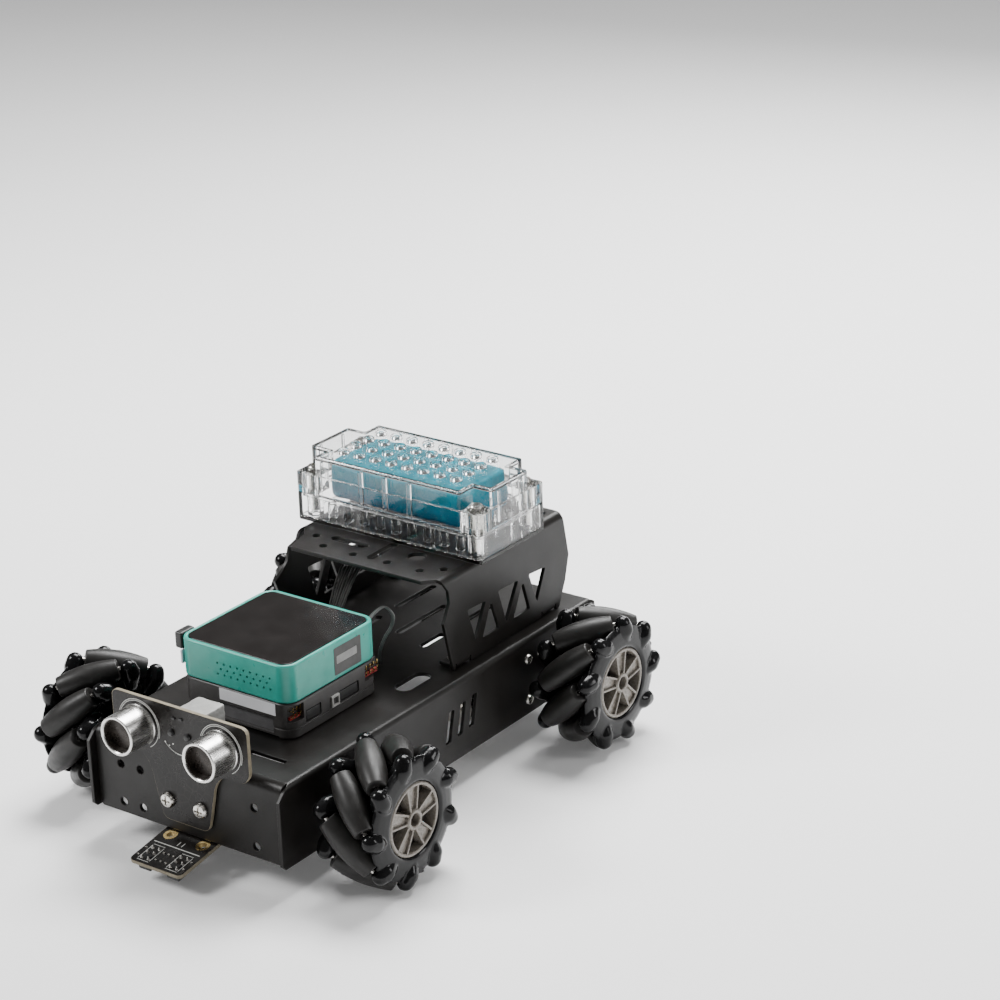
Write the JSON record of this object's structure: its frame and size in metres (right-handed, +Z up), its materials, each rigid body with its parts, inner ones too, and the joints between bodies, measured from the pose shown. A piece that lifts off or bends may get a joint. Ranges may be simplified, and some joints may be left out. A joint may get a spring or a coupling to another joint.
{
  "type": "mecanum wheel robot",
  "caption": "Low sheet-metal robot on mecanum roller wheels, with a controller, distance and line sensors in front and a clear battery case on a rear bracket.",
  "frame": {"origin": "on the floor under the middle of the whole robot's box", "axes": "+Z up, the front faces -Y, +X to the right as seen from the front, as right and left mean in the names"},
  "size_m": [0.1658, 0.22, 0.1167],
  "materials": {
    "roller_rubber": "matt charcoal barrel rollers",
    "black_gloss_plastic": "glossy black lobes and hub with a silver-grey centre",
    "motor_black": "moulded gear housing and dull motor can",
    "black_sheet_metal": "satin black coat with lighter edges",
    "teal_plastic": "satin moulded teal",
    "dark_window": "dark glossy top window",
    "grey_plastic": "dark grey moulded base",
    "clear_plastic": "clear polished case",
    "pack_blue": "wrinkled shrink film",
    "board_black": "black lacquered circuit board",
    "aluminium": "satin can with a bright rim",
    "white_plastic": "light grey moulded plug",
    "black_cable": "soft black insulation",
    "grey_cable": "soft grey insulation"
  },
  "bodies": {
    "chassis": {"chassis_deck": "black_sheet_metal", "rear_bracket": "black_sheet_metal", "gear_motor_fr": "motor_black", "gear_motor_fl": "motor_black", "gear_motor_rr": "motor_black", "gear_motor_rl": "motor_black", "controller_case": "teal_plastic", "controller_glass": "dark_window", "controller_base": "grey_plastic", "battery_tray": "clear_plastic", "battery_lid": "clear_plastic", "battery_pack": "pack_blue", "sonar_board": "board_black", "sonar_eye_right": "aluminium", "sonar_eye_left": "aluminium", "sonar_plug": "white_plastic", "line_sensor": "board_black", "battery_lead": "black_cable", "motor_lead": "grey_cable", "side_plug": "black_cable"},
    "wheel_fr": {"wheel_hub_fr": "black_gloss_plastic"},
    "wheel_fl": {"wheel_hub_fl": "black_gloss_plastic"},
    "wheel_rr": {"wheel_hub_rr": "black_gloss_plastic"},
    "wheel_rl": {"wheel_hub_rl": "black_gloss_plastic"},
    "roller_fr_1": {"roller_fr_1": "roller_rubber"},
    "roller_fr_2": {"roller_fr_2": "roller_rubber"},
    "roller_fr_3": {"roller_fr_3": "roller_rubber"},
    "roller_fr_4": {"roller_fr_4": "roller_rubber"},
    "roller_fr_5": {"roller_fr_5": "roller_rubber"},
    "roller_fr_6": {"roller_fr_6": "roller_rubber"},
    "roller_fr_7": {"roller_fr_7": "roller_rubber"},
    "roller_fr_8": {"roller_fr_8": "roller_rubber"},
    "roller_fr_9": {"roller_fr_9": "roller_rubber"},
    "roller_fl_1": {"roller_fl_1": "roller_rubber"},
    "roller_fl_2": {"roller_fl_2": "roller_rubber"},
    "roller_fl_3": {"roller_fl_3": "roller_rubber"},
    "roller_fl_4": {"roller_fl_4": "roller_rubber"},
    "roller_fl_5": {"roller_fl_5": "roller_rubber"},
    "roller_fl_6": {"roller_fl_6": "roller_rubber"},
    "roller_fl_7": {"roller_fl_7": "roller_rubber"},
    "roller_fl_8": {"roller_fl_8": "roller_rubber"},
    "roller_fl_9": {"roller_fl_9": "roller_rubber"},
    "roller_rr_1": {"roller_rr_1": "roller_rubber"},
    "roller_rr_2": {"roller_rr_2": "roller_rubber"},
    "roller_rr_3": {"roller_rr_3": "roller_rubber"},
    "roller_rr_4": {"roller_rr_4": "roller_rubber"},
    "roller_rr_5": {"roller_rr_5": "roller_rubber"},
    "roller_rr_6": {"roller_rr_6": "roller_rubber"},
    "roller_rr_7": {"roller_rr_7": "roller_rubber"},
    "roller_rr_8": {"roller_rr_8": "roller_rubber"},
    "roller_rr_9": {"roller_rr_9": "roller_rubber"},
    "roller_rl_1": {"roller_rl_1": "roller_rubber"},
    "roller_rl_2": {"roller_rl_2": "roller_rubber"},
    "roller_rl_3": {"roller_rl_3": "roller_rubber"},
    "roller_rl_4": {"roller_rl_4": "roller_rubber"},
    "roller_rl_5": {"roller_rl_5": "roller_rubber"},
    "roller_rl_6": {"roller_rl_6": "roller_rubber"},
    "roller_rl_7": {"roller_rl_7": "roller_rubber"},
    "roller_rl_8": {"roller_rl_8": "roller_rubber"},
    "roller_rl_9": {"roller_rl_9": "roller_rubber"}
  },
  "joints": [
    {"name": "wheel_fr_spin", "type": "hinge", "parent": "chassis", "child": "wheel_fr", "pos_m": [0.0686, -0.057, 0.028], "axis": [1, 0, 0], "continuous": true},
    {"name": "wheel_fl_spin", "type": "hinge", "parent": "chassis", "child": "wheel_fl", "pos_m": [-0.071, -0.057, 0.028], "axis": [1, 0, 0], "continuous": true},
    {"name": "wheel_rr_spin", "type": "hinge", "parent": "chassis", "child": "wheel_rr", "pos_m": [0.0686, 0.0788, 0.028], "axis": [1, 0, 0], "continuous": true},
    {"name": "wheel_rl_spin", "type": "hinge", "parent": "chassis", "child": "wheel_rl", "pos_m": [-0.071, 0.0788, 0.028], "axis": [1, 0, 0], "continuous": true},
    {"name": "roller_fr_1_spin", "type": "hinge", "parent": "wheel_fr", "child": "roller_fr_1", "pos_m": [0.0686, -0.057, 0.0056], "axis": [0.7071, 0.7071, 0], "continuous": true},
    {"name": "roller_fr_2_spin", "type": "hinge", "parent": "wheel_fr", "child": "roller_fr_2", "pos_m": [0.0686, -0.0426, 0.01084], "axis": [0.7071, 0.5417, 0.4545], "continuous": true},
    {"name": "roller_fr_3_spin", "type": "hinge", "parent": "wheel_fr", "child": "roller_fr_3", "pos_m": [0.0686, -0.03494, 0.02411], "axis": [0.7071, 0.1228, 0.6964], "continuous": true},
    {"name": "roller_fr_4_spin", "type": "hinge", "parent": "wheel_fr", "child": "roller_fr_4", "pos_m": [0.0686, -0.0376, 0.0392], "axis": [0.7071, -0.3536, 0.6124], "continuous": true},
    {"name": "roller_fr_5_spin", "type": "hinge", "parent": "wheel_fr", "child": "roller_fr_5", "pos_m": [0.0686, -0.04934, 0.04905], "axis": [0.7071, -0.6645, 0.2418], "continuous": true},
    {"name": "roller_fr_6_spin", "type": "hinge", "parent": "wheel_fr", "child": "roller_fr_6", "pos_m": [0.0686, -0.06466, 0.04905], "axis": [0.7071, -0.6645, -0.2418], "continuous": true},
    {"name": "roller_fr_7_spin", "type": "hinge", "parent": "wheel_fr", "child": "roller_fr_7", "pos_m": [0.0686, -0.0764, 0.0392], "axis": [0.7071, -0.3536, -0.6124], "continuous": true},
    {"name": "roller_fr_8_spin", "type": "hinge", "parent": "wheel_fr", "child": "roller_fr_8", "pos_m": [0.0686, -0.07906, 0.02411], "axis": [0.7071, 0.1228, -0.6964], "continuous": true},
    {"name": "roller_fr_9_spin", "type": "hinge", "parent": "wheel_fr", "child": "roller_fr_9", "pos_m": [0.0686, -0.0714, 0.01084], "axis": [0.7071, 0.5417, -0.4545], "continuous": true},
    {"name": "roller_fl_1_spin", "type": "hinge", "parent": "wheel_fl", "child": "roller_fl_1", "pos_m": [-0.071, -0.057, 0.0056], "axis": [0.7071, -0.7071, 0], "continuous": true},
    {"name": "roller_fl_2_spin", "type": "hinge", "parent": "wheel_fl", "child": "roller_fl_2", "pos_m": [-0.071, -0.0426, 0.01084], "axis": [0.7071, -0.5417, -0.4545], "continuous": true},
    {"name": "roller_fl_3_spin", "type": "hinge", "parent": "wheel_fl", "child": "roller_fl_3", "pos_m": [-0.071, -0.03494, 0.02411], "axis": [0.7071, -0.1228, -0.6964], "continuous": true},
    {"name": "roller_fl_4_spin", "type": "hinge", "parent": "wheel_fl", "child": "roller_fl_4", "pos_m": [-0.071, -0.0376, 0.0392], "axis": [0.7071, 0.3536, -0.6124], "continuous": true},
    {"name": "roller_fl_5_spin", "type": "hinge", "parent": "wheel_fl", "child": "roller_fl_5", "pos_m": [-0.071, -0.04934, 0.04905], "axis": [0.7071, 0.6645, -0.2418], "continuous": true},
    {"name": "roller_fl_6_spin", "type": "hinge", "parent": "wheel_fl", "child": "roller_fl_6", "pos_m": [-0.071, -0.06466, 0.04905], "axis": [0.7071, 0.6645, 0.2418], "continuous": true},
    {"name": "roller_fl_7_spin", "type": "hinge", "parent": "wheel_fl", "child": "roller_fl_7", "pos_m": [-0.071, -0.0764, 0.0392], "axis": [0.7071, 0.3536, 0.6124], "continuous": true},
    {"name": "roller_fl_8_spin", "type": "hinge", "parent": "wheel_fl", "child": "roller_fl_8", "pos_m": [-0.071, -0.07906, 0.02411], "axis": [0.7071, -0.1228, 0.6964], "continuous": true},
    {"name": "roller_fl_9_spin", "type": "hinge", "parent": "wheel_fl", "child": "roller_fl_9", "pos_m": [-0.071, -0.0714, 0.01084], "axis": [0.7071, -0.5417, 0.4545], "continuous": true},
    {"name": "roller_rr_1_spin", "type": "hinge", "parent": "wheel_rr", "child": "roller_rr_1", "pos_m": [0.0686, 0.0788, 0.0056], "axis": [0.7071, -0.7071, 0], "continuous": true},
    {"name": "roller_rr_2_spin", "type": "hinge", "parent": "wheel_rr", "child": "roller_rr_2", "pos_m": [0.0686, 0.0932, 0.01084], "axis": [0.7071, -0.5417, -0.4545], "continuous": true},
    {"name": "roller_rr_3_spin", "type": "hinge", "parent": "wheel_rr", "child": "roller_rr_3", "pos_m": [0.0686, 0.10086, 0.02411], "axis": [0.7071, -0.1228, -0.6964], "continuous": true},
    {"name": "roller_rr_4_spin", "type": "hinge", "parent": "wheel_rr", "child": "roller_rr_4", "pos_m": [0.0686, 0.0982, 0.0392], "axis": [0.7071, 0.3536, -0.6124], "continuous": true},
    {"name": "roller_rr_5_spin", "type": "hinge", "parent": "wheel_rr", "child": "roller_rr_5", "pos_m": [0.0686, 0.08646, 0.04905], "axis": [0.7071, 0.6645, -0.2418], "continuous": true},
    {"name": "roller_rr_6_spin", "type": "hinge", "parent": "wheel_rr", "child": "roller_rr_6", "pos_m": [0.0686, 0.07114, 0.04905], "axis": [0.7071, 0.6645, 0.2418], "continuous": true},
    {"name": "roller_rr_7_spin", "type": "hinge", "parent": "wheel_rr", "child": "roller_rr_7", "pos_m": [0.0686, 0.0594, 0.0392], "axis": [0.7071, 0.3536, 0.6124], "continuous": true},
    {"name": "roller_rr_8_spin", "type": "hinge", "parent": "wheel_rr", "child": "roller_rr_8", "pos_m": [0.0686, 0.05674, 0.02411], "axis": [0.7071, -0.1228, 0.6964], "continuous": true},
    {"name": "roller_rr_9_spin", "type": "hinge", "parent": "wheel_rr", "child": "roller_rr_9", "pos_m": [0.0686, 0.0644, 0.01084], "axis": [0.7071, -0.5417, 0.4545], "continuous": true},
    {"name": "roller_rl_1_spin", "type": "hinge", "parent": "wheel_rl", "child": "roller_rl_1", "pos_m": [-0.071, 0.0788, 0.0056], "axis": [0.7071, 0.7071, 0], "continuous": true},
    {"name": "roller_rl_2_spin", "type": "hinge", "parent": "wheel_rl", "child": "roller_rl_2", "pos_m": [-0.071, 0.0932, 0.01084], "axis": [0.7071, 0.5417, 0.4545], "continuous": true},
    {"name": "roller_rl_3_spin", "type": "hinge", "parent": "wheel_rl", "child": "roller_rl_3", "pos_m": [-0.071, 0.10086, 0.02411], "axis": [0.7071, 0.1228, 0.6964], "continuous": true},
    {"name": "roller_rl_4_spin", "type": "hinge", "parent": "wheel_rl", "child": "roller_rl_4", "pos_m": [-0.071, 0.0982, 0.0392], "axis": [0.7071, -0.3536, 0.6124], "continuous": true},
    {"name": "roller_rl_5_spin", "type": "hinge", "parent": "wheel_rl", "child": "roller_rl_5", "pos_m": [-0.071, 0.08646, 0.04905], "axis": [0.7071, -0.6645, 0.2418], "continuous": true},
    {"name": "roller_rl_6_spin", "type": "hinge", "parent": "wheel_rl", "child": "roller_rl_6", "pos_m": [-0.071, 0.07114, 0.04905], "axis": [0.7071, -0.6645, -0.2418], "continuous": true},
    {"name": "roller_rl_7_spin", "type": "hinge", "parent": "wheel_rl", "child": "roller_rl_7", "pos_m": [-0.071, 0.0594, 0.0392], "axis": [0.7071, -0.3536, -0.6124], "continuous": true},
    {"name": "roller_rl_8_spin", "type": "hinge", "parent": "wheel_rl", "child": "roller_rl_8", "pos_m": [-0.071, 0.05674, 0.02411], "axis": [0.7071, 0.1228, -0.6964], "continuous": true},
    {"name": "roller_rl_9_spin", "type": "hinge", "parent": "wheel_rl", "child": "roller_rl_9", "pos_m": [-0.071, 0.0644, 0.01084], "axis": [0.7071, 0.5417, -0.4545], "continuous": true}
  ]
}
